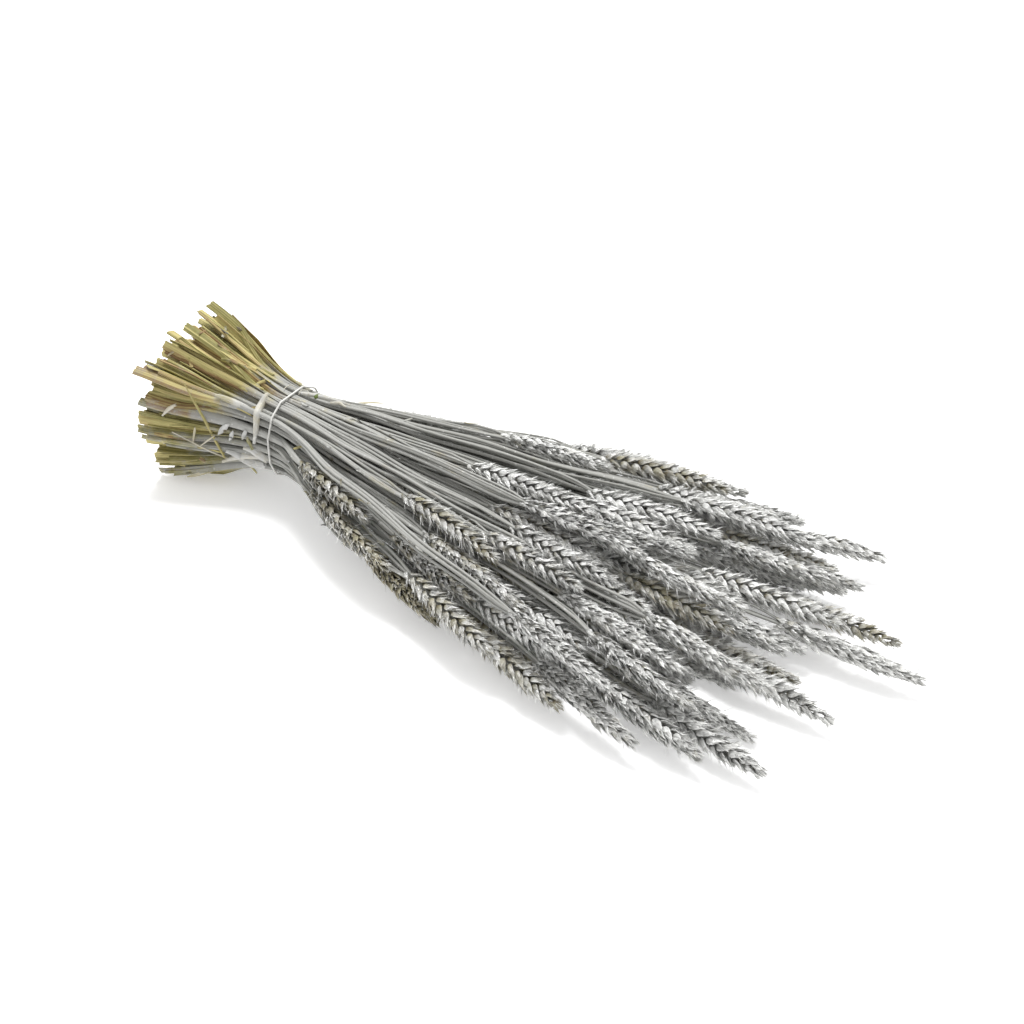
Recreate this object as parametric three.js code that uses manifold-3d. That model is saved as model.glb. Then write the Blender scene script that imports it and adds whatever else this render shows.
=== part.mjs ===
// A bundle of dried wheat lying on its side: straws with their ears, held by one thin elastic band.
//
// Millimetres, +Z up. The straws run along +X, from the cut ends, through the band, to the ear tips.
// The bundle is laid out with the band's plane at x = 0, and moved at the end so that the origin is the
// middle of the bounding box, on the surface that the bundle lies on.
//
// Two straws that lie side by side are one mesh: dried paint holds them together where the band presses.

import * as THREE from "three";
import Module from "manifold-3d";

const wasm = await Module();
wasm.setup();

// ---------------------------------------------------------------- driving dimensions

const BAND_ROWS = [6, 10, 10, 12, 12, 12, 12, 10, 10, 6]; // straws in the band, row by row from below
const GAP = 0.35; // left between neighbouring pieces

const BUTT_LENGTH = 84; // along a straw, from the band to its cut end
const BUTT_UNEVEN = 7; // how far the cut ends are out of line
const BUTT_HALF_WIDTH = 3.3; // the cut ends are flat, with old leaf sheaths round them
const BUTT_HALF_DEPTH = 2;
const BAND_R = 2.3; // straw radius at the band
const NECK_R = 1.3; // straw radius just under the ear

const EAR_LENGTH = { shortest: 66, longest: 82 };
const EAR_R = 6; // half the width of an ear, out to the lips of its spikelets
const EAR_DEPTH = 0.82; // thickness of an ear over its width
const EAR_WAIST = 0.62; // half width at the foot of a spikelet over that at its lip
const SPIKELETS = 10; // on one ear, left and right by turns
const LIP_REACH = 0.8; // how far a lip reaches over the next spikelet's foot

const BAND_HEIGHT = 42; // of the bundle's middle at the band, above the surface
const BAND_CORD_R = 0.7;
const BUTT_HEIGHT = 44; // of the middle of the brush of cut ends
const BUTT_SPLAY = 1.95; // size of that brush over the size at the band
const BUTT_STRAY = 12;

const FAN_DEG = 24; // how far the outermost straws turn aside
const REACH = { longest: 345, shortestAbove: 180, shortestBelow: 105 }; // from the band to an ear's tip
const HEAP = 46; // height of the heap of ears, before they settle

// Tips of the ears that lead the outline and lie on top: along the bundle, across it, and height.
const LEADING_TIPS = [
  [390, 15, 14], [370, 35, 16], [340, 60, 24], [340, 98, 16], [285, 114, 12], [250, 108, 18],
  [205, 98, 22], [140, 76, 22], [335, -15, 12], [360, -35, 12], [345, -85, 12], [315, -92, 9],
  [285, -104, 8], [240, -97, 10], [195, -89, 10], [155, -79, 10], [115, -62, 12], [170, -66, 30],
  [90, -48, 26], [106, 56, 34], [200, 5, 52], [242, -15, 52], [300, -15, 44], [224, -50, 50],
  [262, -90, 34], [262, 8, 50],
];

// Dry leaves that stand off the outer straws: where, on which side of the bundle, how long, how far
// off, and which way along the straw they point.
const LEAVES = [
  { x: -14, side: 128, length: 24, lift: 5, way: -1 },
  { x: -36, side: 212, length: 28, lift: 6, way: -1 },
  { x: 24, side: 62, length: 22, lift: 4, way: 1 },
  { x: 90, side: 225, length: 22, lift: 6, way: 1 },
];
const LEAF_WIDTH = 6;
const LEAF_THICKNESS = 0.8;

// ---------------------------------------------------------------- small helpers

const mix = (a, b, t) => a + (b - a) * t;
const clamp = (v, lo, hi) => Math.min(hi, Math.max(lo, v));

// The k-th random number of stalk i, from 0 to 1, the same on every run.
function draw(i, k) {
  const v = Math.sin(i * 12.9898 + k * 78.233 + 4.1) * 43758.5453;
  return v - Math.floor(v);
}

// ---------------------------------------------------------------- places in the band

// Straws lie in rows, two by two: partners are pressed together, and pairs are a gap apart.
const PARTNER_PITCH = 1.5 * BAND_R;
const PAIR_PITCH = PARTNER_PITCH + 2 * BAND_R + GAP;
const ROW_PITCH = 2 * BAND_R + GAP;

function bandPlaces() {
  const places = [];
  BAND_ROWS.forEach((count, row) => {
    const z = (row - (BAND_ROWS.length - 1) / 2) * ROW_PITCH;
    for (let k = 0; k < count; k++) {
      const pair = Math.floor(k / 2) - (count / 2 - 1) / 2;
      const y = pair * PAIR_PITCH + (k % 2 ? 0.5 : -0.5) * PARTNER_PITCH;
      places.push({ y, z });
    }
  });
  return places;
}

// ---------------------------------------------------------------- where the stalks run

const STEP = 60; // between the stations at which a stalk's centre line is held
const STATIONS = [-BUTT_LENGTH];
for (let x = 0; x < REACH.longest + 2 * STEP; x += STEP) STATIONS.push(x);
const BAND_STATION = 1;

// What must stay clear of the neighbours at x: the radius of a straw, or half the width of an ear.
function radiusAt(stalk, x) {
  if (x < 0) return mix(BAND_R, BUTT_HALF_WIDTH, x / -BUTT_LENGTH);
  if (x < stalk.neckX) return mix(BAND_R, NECK_R, x / stalk.neckX);
  return earOutline(clamp((x - stalk.neckX) / (stalk.tipX - stalk.neckX), 0, 1));
}

// Half width of an ear, t from 0 at its foot to 1 at its tip.
function earOutline(t) {
  const foot = mix(NECK_R + 1, EAR_R, Math.min(1, t / 0.2));
  return foot * (t < 0.55 ? 1 : mix(1, 0.5, (t - 0.55) / 0.45));
}

// A straw's place in the band decides which way it fans out and how high it lies among the ears.
function planStalks() {
  const places = bandPlaces();
  const halfWidth = Math.max(...places.map((p) => p.y));
  const halfHeight = Math.max(...places.map((p) => p.z));
  const stalks = places.map((place, i) => ({ i, place, u: place.y / halfWidth, v: place.z / halfHeight }));
  const across = [...stalks].sort((a, b) => a.u - b.u + 0.5 * (draw(a.i, 1) - draw(b.i, 1)));
  across.forEach((stalk, rank) => {
    const side = (2 * rank) / (stalks.length - 1) - 1;
    const fan = THREE.MathUtils.degToRad(FAN_DEG * mix(side, stalk.u, 0.35));
    const level = (stalk.v + 1) / 2;
    const shortest = mix(REACH.shortestBelow, REACH.shortestAbove, level);
    const shortness = ((stalk.i * 0.61803) % 1) ** 1.4;
    const reach = mix(REACH.longest, shortest, shortness) * (1 - 0.15 * side * side);
    const crown = HEAP * Math.sqrt(1 - 0.7 * side * side) * (1 - 0.5 * (reach / REACH.longest) ** 3);
    stalk.tip = [reach * Math.cos(fan), reach * Math.sin(fan), EAR_R + level * crown];
  });
  giveLeadingTips(stalks);
  for (const stalk of stalks) {
    const [along, across] = stalk.tip;
    const earLength = mix(EAR_LENGTH.shortest, EAR_LENGTH.longest, draw(stalk.i, 3));
    stalk.tipX = along;
    stalk.neckX = along - earLength * Math.cos(Math.atan2(across, along));
    stalk.buttX = -BUTT_LENGTH + BUTT_UNEVEN * draw(stalk.i, 6);
    stalk.goal = STATIONS.map((x) => goalAt(stalk, x));
    stalk.line = stalk.goal.map((p) => [...p]);
  }
  return stalks;
}

// Each leading tip goes to the stalk that already points nearest to it, at about the right height.
function giveLeadingTips(stalks) {
  const given = new Set();
  for (const tip of LEADING_TIPS) {
    const turn = Math.atan2(tip[1], tip[0]);
    const cost = (s) => 12 * Math.abs(Math.atan2(s.tip[1], s.tip[0]) - turn) + Math.abs(s.v - tip[2] / 25 + 0.6);
    const free = stalks.filter((s) => !given.has(s));
    const best = free.reduce((a, b) => (cost(b) < cost(a) ? b : a));
    best.tip = tip;
    given.add(best);
  }
}

// Where a stalk would run if nothing were in its way: straight from the band to its tip.
function goalAt(stalk, x) {
  const { y, z } = stalk.place;
  if (x < 0) {
    const stray = [4, 5].map((k) => BUTT_STRAY * (draw(stalk.i, k) - 0.5));
    return [y * BUTT_SPLAY + stray[0], BUTT_HEIGHT + z * BUTT_SPLAY + stray[1]];
  }
  const t = x / stalk.tipX;
  return [mix(y, stalk.tip[1], t), mix(BAND_HEIGHT + z, stalk.tip[2], t)];
}

// The point of a stalk's centre line at x, and how it lies between two stations.
function centreAt(stalk, x) {
  const j = clamp(STATIONS.findIndex((s) => s >= x), 1, STATIONS.length - 1);
  const t = (x - STATIONS[j - 1]) / (STATIONS[j] - STATIONS[j - 1]);
  const [a, b] = [stalk.line[j - 1], stalk.line[j]];
  return { j, t, y: mix(a[0], b[0], t), z: mix(a[1], b[1], t) };
}

// ---------------------------------------------------------------- settling

// The stalks sink, stay stiff, push each other apart and stop at the surface.
// The pulls fade out, so that the last rounds only clear what still overlaps.
const ROUNDS = 450;
const SAMPLE_STEP = 7;
const KEEP_CLEAR = GAP + 0.2;
const PRESSED = 34; // partners may touch this near to the band

function settle(stalks) {
  const samples = [];
  for (let x = -BUTT_LENGTH; x < REACH.longest + STEP; x += SAMPLE_STEP) samples.push(x);
  for (let round = 0; round < ROUNDS; round++) {
    const pull = Math.max(0, 1 - round / (0.7 * ROUNDS));
    for (const stalk of stalks) relax(stalk, pull);
    for (const x of samples) separate(stalks, x);
    for (const stalk of stalks) stopAtSurface(stalk);
  }
}

function relax(stalk, pull) {
  const { line, goal } = stalk;
  for (let j = 0; j < STATIONS.length; j++) {
    if (j === BAND_STATION) continue;
    const inner = j > BAND_STATION && j < STATIONS.length - 1;
    for (const k of [0, 1]) {
      if (inner) line[j][k] += 0.12 * ((line[j - 1][k] + line[j + 1][k]) / 2 - line[j][k]);
      line[j][k] += 0.03 * pull * (goal[j][k] - line[j][k]);
    }
    if (j > BAND_STATION) line[j][1] -= 0.1 * pull;
  }
}

function separate(stalks, x) {
  const here = stalks
    .filter((s) => x <= s.tipX)
    .map((stalk) => ({ stalk, r: radiusAt(stalk, x), ...centreAt(stalk, x) }));
  for (let a = 0; a < here.length; a++) {
    for (let b = a + 1; b < here.length; b++) {
      const [p, q] = [here[a], here[b]];
      if (Math.abs(x) < PRESSED && arePartners(p.stalk, q.stalk)) continue;
      const need = p.r + q.r + KEEP_CLEAR;
      const dy = q.y - p.y;
      const dz = q.z - p.z;
      if (Math.abs(dy) >= need || Math.abs(dz) >= need) continue;
      const distance = Math.hypot(dy, dz) || 1e-6;
      if (distance >= need) continue;
      const push = (0.5 * (need - distance)) / distance;
      shift(p, -dy * push, -dz * push);
      shift(q, dy * push, dz * push);
    }
  }
}

function arePartners(a, b) {
  return Math.floor(a.i / 2) === Math.floor(b.i / 2);
}

// Moves a stalk at one sampled point, by moving the two stations on either side of it.
function shift(at, dy, dz) {
  const weight = (1 - at.t) ** 2 + at.t ** 2;
  for (const [j, share] of [[at.j - 1, 1 - at.t], [at.j, at.t]]) {
    if (j === BAND_STATION) continue;
    at.stalk.line[j][0] += (dy * share) / weight;
    at.stalk.line[j][1] += (dz * share) / weight;
  }
  at.y += dy;
  at.z += dz;
}

// Straws and ears that lie on the surface are pressed a little flat, and sink in by this much.
const PRESSED_FLAT = 0.6;

function stopAtSurface(stalk) {
  stalk.line.forEach((p, j) => {
    const x = clamp(STATIONS[j], -BUTT_LENGTH, stalk.tipX);
    const lowest = x < 0 ? 0.3 * BUTT_HALF_DEPTH : PRESSED_FLAT * radiusAt(stalk, x);
    p[1] = Math.max(p[1], lowest);
  });
}

// ---------------------------------------------------------------- lofted solids

// A closed solid through rings of points, all counted the same way round, from low x to high x.
// It ends in its last ring, or in a point beyond that ring.
class Loft {
  points = [];
  faces = [];

  ring(points) {
    const ring = points.map((p) => this.points.push(p) - 1);
    if (this.last) this.stitch(this.last, ring);
    else for (let k = 1; k < ring.length - 1; k++) this.faces.push([ring[0], ring[k + 1], ring[k]]);
    this.last = ring;
    return this;
  }

  // Joins two rings, which may differ in how many points they have.
  stitch(a, b) {
    let i = 0;
    let j = 0;
    while (i < a.length || j < b.length) {
      const here = [a[i % a.length], b[j % b.length]];
      if (j === b.length || (i < a.length && (i + 1) / a.length <= (j + 1) / b.length)) {
        i += 1;
        this.faces.push([here[0], a[i % a.length], here[1]]);
      } else {
        j += 1;
        this.faces.push([here[0], b[j % b.length], here[1]]);
      }
    }
  }

  close() {
    const ring = this.last;
    for (let k = 1; k < ring.length - 1; k++) this.faces.push([ring[0], ring[k], ring[k + 1]]);
    return this;
  }

  endInPoint(point) {
    const tip = this.points.push(point) - 1;
    this.last.forEach((p, k) => this.faces.push([p, this.last[(k + 1) % this.last.length], tip]));
    return this;
  }

  solid() {
    const mesh = new wasm.Mesh({
      numProp: 3,
      vertProperties: new Float32Array(this.points.flat()),
      triVerts: new Uint32Array(this.faces.flat()),
    });
    return new wasm.Manifold(mesh);
  }
}

// Keeps a point above the surface, which also presses flat what lies on it.
const above = ([x, y, z]) => [x, y, Math.max(0, z)];

// ---------------------------------------------------------------- one stalk

// Four corners of a straw at x. The cut end is wider than it is deep, turned at random.
function strawRing(stalk, x, halfWidth, halfDepth = halfWidth, turn = 0) {
  const c = centreAt(stalk, x);
  return [0, 90, 180, 270].map((degrees) => {
    const a = THREE.MathUtils.degToRad(degrees);
    const [w, d] = [halfWidth * Math.cos(a), halfDepth * Math.sin(a)];
    const y = c.y + w * Math.cos(turn) - d * Math.sin(turn);
    const z = c.z + w * Math.sin(turn) + d * Math.cos(turn);
    return above([x, y, z]);
  });
}

// Six corners of an ear. Three belong to its left row of spikelets and three to its right row, and the
// lips of one row lie beside the feet of the other.
function earRing(stalk, number, pitch) {
  const corners = [0, 60, 120, 180, 240, 300];
  const lipRow = number % 2 ? "left" : "right";
  return corners.map((degrees) => {
    const a = THREE.MathUtils.degToRad(degrees);
    const isLip = (degrees > 90 && degrees < 270 ? "left" : "right") === lipRow;
    const outer = degrees % 180 === 0 ? 1 : 0.55;
    const x = stalk.neckX + pitch * (number + (isLip ? LIP_REACH * outer : 0));
    const r = earOutline((x - stalk.neckX) / (stalk.tipX - stalk.neckX)) * (isLip ? 1 : EAR_WAIST);
    const c = centreAt(stalk, x);
    const [w, d] = [r * Math.cos(a), EAR_DEPTH * r * Math.sin(a)];
    const roll = stalk.roll;
    return above([x, c.y + w * Math.cos(roll) - d * Math.sin(roll), c.z + w * Math.sin(roll) + d * Math.cos(roll)]);
  });
}

function buildStalk(stalk) {
  stalk.roll = Math.PI * (draw(stalk.i, 7) - 0.5) * 0.8;
  const turn = Math.PI * (draw(stalk.i, 8) - 0.5) * 0.9;
  const loft = new Loft();
  loft.ring(strawRing(stalk, stalk.buttX, BUTT_HALF_WIDTH, BUTT_HALF_DEPTH, turn));
  const inner = STATIONS.filter((x) => x >= 0 && x < stalk.neckX - 0.3 * STEP);
  for (const x of inner) loft.ring(strawRing(stalk, x, radiusAt(stalk, x)));
  loft.ring(strawRing(stalk, stalk.neckX, NECK_R));
  const pitch = (stalk.tipX - stalk.neckX) / (SPIKELETS + 1);
  for (let n = 1; n <= SPIKELETS; n++) loft.ring(earRing(stalk, n, pitch));
  const c = centreAt(stalk, stalk.tipX);
  return loft.endInPoint(above([stalk.tipX, c.y, c.z])).solid();
}

// A dry leaf on the outermost straw of one side: it leaves the straw narrow, arches off and droops.
function buildLeaf(stalk, { x, length, lift, way }, out) {
  const rings = [];
  for (let k = 0; k <= 5; k++) {
    const s = k / 6;
    const along = x + way * length * s;
    const c = centreAt(stalk, along);
    const off = lift * Math.sin(Math.PI * 0.62 * s) + 0.3 * s;
    const half = (LEAF_WIDTH / 2) * (k === 0 ? 0.3 : mix(0.8, 1, Math.sin(Math.PI * s)));
    const corners = [[1, -1], [1, 1], [-1, 1], [-1, -1]];
    rings.push(corners.map(([w, d]) => {
      const reach = off + (d * LEAF_THICKNESS) / 2;
      const side = w * half;
      return above([along, c.y + reach * out[0] + side * out[1], c.z + reach * out[1] - side * out[0]]);
    }));
  }
  if (way < 0) rings.reverse();
  const loft = new Loft();
  for (const ring of rings) loft.ring(ring);
  return loft.close().solid();
}

// The straw that stands out furthest on one side of the bundle, at x.
function outermost(stalks, x, out) {
  const reach = (s) => centreAt(s, x).y * out[0] + centreAt(s, x).z * out[1];
  return stalks.filter((s) => s.neckX > x + 30).reduce((a, b) => (reach(b) > reach(a) ? b : a));
}

// ---------------------------------------------------------------- the elastic band

const BAND_SIDES = 28;
const CORD_SIDES = 6;

// How far the straws reach at the band in one direction across the bundle.
function bandSupport(stalks, angle) {
  const [c, s] = [Math.cos(angle), Math.sin(angle)];
  const reach = stalks.map(({ place }) => place.y * c + place.z * s);
  return Math.max(...reach) + BAND_R + GAP + BAND_CORD_R;
}

// The cord follows the polygon of the lines that just touch the straws, so it bridges their hollows.
function buildBand(stalks) {
  const step = (2 * Math.PI) / BAND_SIDES;
  const sections = [];
  for (let k = 0; k < BAND_SIDES; k++) {
    const [a, b] = [k * step, (k + 1) * step];
    const [ha, hb] = [bandSupport(stalks, a), bandSupport(stalks, b)];
    const det = Math.sin(b - a);
    const y = (ha * Math.sin(b) - hb * Math.sin(a)) / det;
    const z = (hb * Math.cos(a) - ha * Math.cos(b)) / det;
    const out = a + step / 2;
    const section = [];
    for (let m = 0; m < CORD_SIDES; m++) {
      const turn = (2 * Math.PI * m) / CORD_SIDES;
      const r = BAND_CORD_R * Math.cos(turn);
      section.push([BAND_CORD_R * Math.sin(turn), y + r * Math.cos(out), BAND_HEIGHT + z + r * Math.sin(out)]);
    }
    sections.push(section);
  }
  const points = sections.flat();
  const faces = [];
  for (let k = 0; k < BAND_SIDES; k++) {
    const next = (k + 1) % BAND_SIDES;
    for (let m = 0; m < CORD_SIDES; m++) {
      const n = (m + 1) % CORD_SIDES;
      const [a, b, c, d] = [[k, m], [next, m], [next, n], [k, n]].map(([s, t]) => s * CORD_SIDES + t);
      faces.push([a, b, c], [a, c, d]);
    }
  }
  const mesh = new wasm.Mesh({
    numProp: 3,
    vertProperties: new Float32Array(points.flat()),
    triVerts: new Uint32Array(faces.flat()),
  });
  return new wasm.Manifold(mesh);
}

// ---------------------------------------------------------------- the bundle

const painted = new THREE.MeshStandardMaterial({ color: 0x9c9c99, roughness: 0.5, metalness: 0.4 });
const elastic = new THREE.MeshStandardMaterial({ color: 0xe9e6dc, roughness: 0.6 });

function toMesh(solid, name, material) {
  const { vertProperties, triVerts } = solid.getMesh();
  const geometry = new THREE.BufferGeometry();
  geometry.setAttribute("position", new THREE.BufferAttribute(new Float32Array(vertProperties), 3));
  geometry.setIndex(new THREE.BufferAttribute(new Uint32Array(triVerts), 1));
  const mesh = new THREE.Mesh(geometry, material);
  mesh.name = name;
  return mesh;
}

const stalks = planStalks();
settle(stalks);

const leaves = LEAVES.map((leaf) => {
  const side = THREE.MathUtils.degToRad(leaf.side);
  const out = [Math.cos(side), Math.sin(side)];
  const stalk = outermost(stalks, leaf.x, out);
  return { pair: Math.floor(stalk.i / 2), solid: buildLeaf(stalk, leaf, out) };
});

const meshes = [toMesh(buildBand(stalks), "elastic_band", elastic)];
for (let i = 0; i < stalks.length; i += 2) {
  let pair = buildStalk(stalks[i]).add(buildStalk(stalks[i + 1]));
  for (const leaf of leaves) if (leaf.pair === i / 2) pair = pair.add(leaf.solid);
  const name = `wheat_stalks_${String(i / 2 + 1).padStart(2, "0")}`;
  meshes.push(toMesh(pair, name, painted));
}

// The origin goes to the middle of the box, and the lowest point stays at z = 0.
const box = new THREE.Box3();
for (const mesh of meshes) {
  mesh.geometry.computeBoundingBox();
  box.union(mesh.geometry.boundingBox);
}
const bundle = new THREE.Group();
for (const mesh of meshes) {
  mesh.geometry.translate(-(box.min.x + box.max.x) / 2, -(box.min.y + box.max.y) / 2, -box.min.z);
  bundle.add(mesh);
}

export default bundle;
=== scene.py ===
# %% [markdown]
# # A bundle of dried wheat, sprayed silver
#
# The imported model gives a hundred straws, two to a node, each with a coarse ear, and one elastic band.
# This script reads where every straw runs, and puts a finer straw, with its leaf sheaths, shoots and ear,
# in its place. Then it lays loose leaves and chaff on the bundle. Everything is in metres, and +X runs
# from the cut ends to the ears.

# %% Load the frame
import math

import bpy
import numpy as np
from mathutils.bvhtree import BVHTree
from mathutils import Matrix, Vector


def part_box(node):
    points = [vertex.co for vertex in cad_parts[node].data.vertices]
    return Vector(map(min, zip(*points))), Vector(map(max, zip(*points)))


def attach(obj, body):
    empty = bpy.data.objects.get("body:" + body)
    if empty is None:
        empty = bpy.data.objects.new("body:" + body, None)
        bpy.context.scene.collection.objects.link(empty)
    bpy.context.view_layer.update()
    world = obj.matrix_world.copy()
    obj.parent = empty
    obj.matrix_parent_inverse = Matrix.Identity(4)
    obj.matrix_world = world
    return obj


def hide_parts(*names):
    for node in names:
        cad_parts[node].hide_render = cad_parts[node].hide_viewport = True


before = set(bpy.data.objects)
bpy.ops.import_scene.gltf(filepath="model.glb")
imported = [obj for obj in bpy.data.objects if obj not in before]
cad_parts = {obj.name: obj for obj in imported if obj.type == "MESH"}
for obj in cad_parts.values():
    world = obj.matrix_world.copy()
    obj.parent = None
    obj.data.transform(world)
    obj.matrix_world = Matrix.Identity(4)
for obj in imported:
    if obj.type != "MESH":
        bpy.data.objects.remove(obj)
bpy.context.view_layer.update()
MM = 0.001

# %% [markdown]
# ## The camera
#
# The photograph looks down on the bundle from its right side, from about 0.84 m. The camera turns round
# the vertical by its azimuth and looks down by its elevation, and its lens sets how much it takes in.

# %% Camera
BAND_LO, BAND_HI = (np.array(v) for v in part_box("elastic_band"))
BAND = (BAND_LO + BAND_HI) / 2
AZIMUTH, ELEVATION = math.radians(31.2), math.radians(36.0)
LOOK_AT = np.array([BAND[0] + 0.1435, BAND[1] + 0.0162, 0.025])
DISTANCE = 0.8408
HALF_PICTURE, LENS = 512, 1450  # pixels: half the picture's width, and the lens's distance from it
FIELD = 2 * math.atan(HALF_PICTURE / LENS)

back = np.array([
    math.sin(AZIMUTH) * math.cos(ELEVATION),
    -math.cos(AZIMUTH) * math.cos(ELEVATION),
    math.sin(ELEVATION),
])
EYE = LOOK_AT + back * DISTANCE
camera = bpy.data.objects.new("camera", bpy.data.cameras.new("camera"))
bpy.context.scene.collection.objects.link(camera)
camera.data.angle = FIELD
camera.location = EYE
camera.rotation_mode = "QUATERNION"
camera.rotation_quaternion = Vector(-back).to_track_quat("-Z", "Y")
camera.data.clip_start, camera.data.clip_end = 0.01, 100
bpy.context.scene.camera = camera

picture_right = np.array([math.cos(AZIMUTH), math.sin(AZIMUTH), 0.0])
picture_up = np.cross(back, picture_right)


def sight(across, down):
    """The direction from the camera through a pixel of a picture 1024 wide and high."""
    reach = math.tan(FIELD / 2) / HALF_PICTURE
    right, up = (across - HALF_PICTURE) * reach, (HALF_PICTURE - down) * reach
    way = right * picture_right + up * picture_up - back
    return way / np.linalg.norm(way)


# %% [markdown]
# ## Where each straw runs
#
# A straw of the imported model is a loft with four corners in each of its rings, and every ring lies
# across +X. So the corners that share one x are one ring, and their middle is on the straw's centre line.
# The two straws of a node touch only beside the band. With that stretch left out, they fall apart into
# two brush ends and two ear ends, which are told apart by walking along the edges.

# %% Read the straws
PRESSED = 30 * MM  # the two straws of a node are apart beyond this distance from the band
BAND_R = 2.3 * MM
SHORTEST_BRUSH = 60 * MM  # every brush end reaches at least this far behind the band
LEAF_BRIDGE, LEAF_BRIDGE_HALF = 99.5 * MM, 9 * MM  # here one torn leaf joins a straw to its partner's ear
TINY = 0.01 * MM  # places nearer than this count as one


def weld(mesh):
    """Corners that lie in one place become one. Returns the corners and the edges between them."""
    co = np.empty(len(mesh.vertices) * 3, np.float32)
    mesh.vertices.foreach_get("co", co)
    ends = np.empty(len(mesh.edges) * 2, np.int32)
    mesh.edges.foreach_get("vertices", ends)
    points, index = np.unique(co.reshape(-1, 3), axis=0, return_inverse=True)
    return points.astype(float), index.reshape(-1)[ends].reshape(-1, 2)


def islands(points, edges, keep):
    """The groups of kept corners that edges join: each corner takes its neighbours' lowest label."""
    label = np.arange(len(points))
    edges = edges[keep[edges].all(1)]
    while True:
        low = np.minimum(label[edges[:, 0]], label[edges[:, 1]])
        new = label.copy()
        np.minimum.at(new, edges[:, 0], low)
        np.minimum.at(new, edges[:, 1], low)
        if (new == label).all():
            break
        label = new
    return [points[keep & (label == k)] for k in np.unique(label[keep])]


def rings_of(points):
    """Middles of the four-cornered rings, by rising x: two corners of such a ring share its middle's y."""
    rings = []
    for x in np.unique(points[:, 0]):
        ring = points[points[:, 0] == x]
        middle = (ring[ring[:, 1].argmin()] + ring[ring[:, 1].argmax()]) / 2
        if len(ring) == 4 and (abs(ring[:, 1] - middle[1]) < 2 * TINY).sum() == 2:
            rings.append(middle)
    return rings


def read_brush_end(points):
    """Middle of a cut end: the mean of the four corners furthest back."""
    return points[points[:, 0] == points[:, 0].min()].mean(0)


def read_ear_end(points):
    """Ring middles as far as the neck, the ear's tip, its bend, and how it is rolled about its axis."""
    rings = rings_of(points)
    neck, tip = rings[-1], points[points[:, 0].argmax()]
    ear = points[points[:, 0] > neck[0] + TINY]
    t = (ear[:, 0] - neck[0]) / (tip[0] - neck[0])
    off = ear[:, 1:] - (neck[1:] + t[:, None] * (tip - neck)[1:])
    bow = 4 * t * (1 - t)
    bend = (bow[:, None] * off).sum(0) / (bow**2).sum()
    off = off - bow[:, None] * bend
    outer = np.hypot(*off.T) > 0.9 * np.hypot(*off.T).max()
    turn = np.exp(2j * np.arctan2(off[outer, 1], off[outer, 0])).mean()
    return rings, tip, bend, np.angle(turn) / 2


def split_node(points, edges):
    """The two brush ends and the two ear ends of a node, as four lots of corners."""
    keep = abs(points[:, 0] - BAND[0]) > PRESSED
    parts = islands(points, edges, keep)
    if sum(p[:, 0].min() > BAND[0] for p in parts) < 2:
        keep &= abs(points[:, 0] - BAND[0] - LEAF_BRIDGE) > LEAF_BRIDGE_HALF
        parts = islands(points, edges, keep)
    brush = [p for p in parts if p[:, 0].min() < BAND[0] - SHORTEST_BRUSH]
    front = [p for p in parts if p[:, 0].min() > BAND[0]]
    stems = [p for p in front if rings_of(p)]
    necks = [rings_of(p)[-1] for p in stems]
    for loose in (p for p in front if not rings_of(p)):
        start = loose[loose[:, 0].argmin()]
        near = int(np.argmin([np.linalg.norm(neck - start) for neck in necks]))
        stems[near] = np.vstack([stems[near], loose])
    assert len(brush) == 2 and len(stems) == 2, (len(brush), len(stems))
    return brush, stems


straws = []
for name in sorted(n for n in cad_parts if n.startswith("wheat_stalks")):
    points, edges = weld(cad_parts[name].data)
    at_band = points[abs(points[:, 0] - BAND[0]) < TINY]
    level = at_band[at_band[:, 1].argmin()][2]
    places = [at_band[:, 1].min() + BAND_R, at_band[:, 1].max() - BAND_R]
    brush, stems = split_node(points, edges)
    cuts = sorted((read_brush_end(p) for p in brush), key=lambda cut: cut[1])
    ears = sorted((read_ear_end(p) for p in stems), key=lambda ear: ear[0][0][1])
    for y, cut, (rings, tip, bend, roll) in zip(places, cuts, ears):
        straws.append(dict(
            node=name, number=len(straws), cut=cut, band=np.array([BAND[0], y, level]),
            rings=rings, neck=rings[-1], tip=tip, bend=bend, roll=roll,
        ))
lengths = [1000 * np.linalg.norm(s["tip"] - s["neck"]) for s in straws]
print(len(straws), "straws; ears", round(min(lengths)), "to", round(max(lengths)), "mm")

# %% [markdown]
# ## Centre lines
#
# A straw bends gently and never swings past the places it goes through. A monotone cubic does that: each
# stretch between two known points is a cubic whose slope at a point is zero where the straw turns back,
# so the straws leave the band almost level, pressed together, and only then fan out. A small slow wave
# on top keeps neighbours from running like ruled lines.

# %% Monotone curves


def monotone(x, y, at):
    """A smooth curve through the points (x, y), read at the places at. y may have several columns."""
    step = np.diff(x)[:, None]
    slope = np.diff(y, axis=0) / step
    same = slope[1:] * slope[:-1] > 0
    inner = np.where(same, 2 * slope[1:] * slope[:-1] / np.where(same, slope[1:] + slope[:-1], 1), 0)
    m = np.vstack([slope[:1], inner, slope[-1:]])
    j = np.clip(np.searchsorted(x, at) - 1, 0, len(x) - 2)
    h = step[j]
    t = ((at - x[j])[:, None]) / h
    return (
        y[j] * (1 + 2 * t) * (1 - t) ** 2 + h * m[j] * t * (1 - t) ** 2
        + y[j + 1] * t**2 * (3 - 2 * t) + h * m[j + 1] * t**2 * (t - 1)
    )


def smoothstep(a, b, x):
    """0 below a, 1 above b, and 3t² - 2t³ between."""
    t = np.clip((x - a) / (b - a), 0, 1)
    return t * t * (3 - 2 * t)


def unit(v):
    """Each row of v, made one long."""
    return v / np.linalg.norm(v, axis=-1, keepdims=True)


WAVE, WAVE_STEP = 0.7 * MM, 0.016  # how far a straw swings, and how far along for one radian of it


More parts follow.
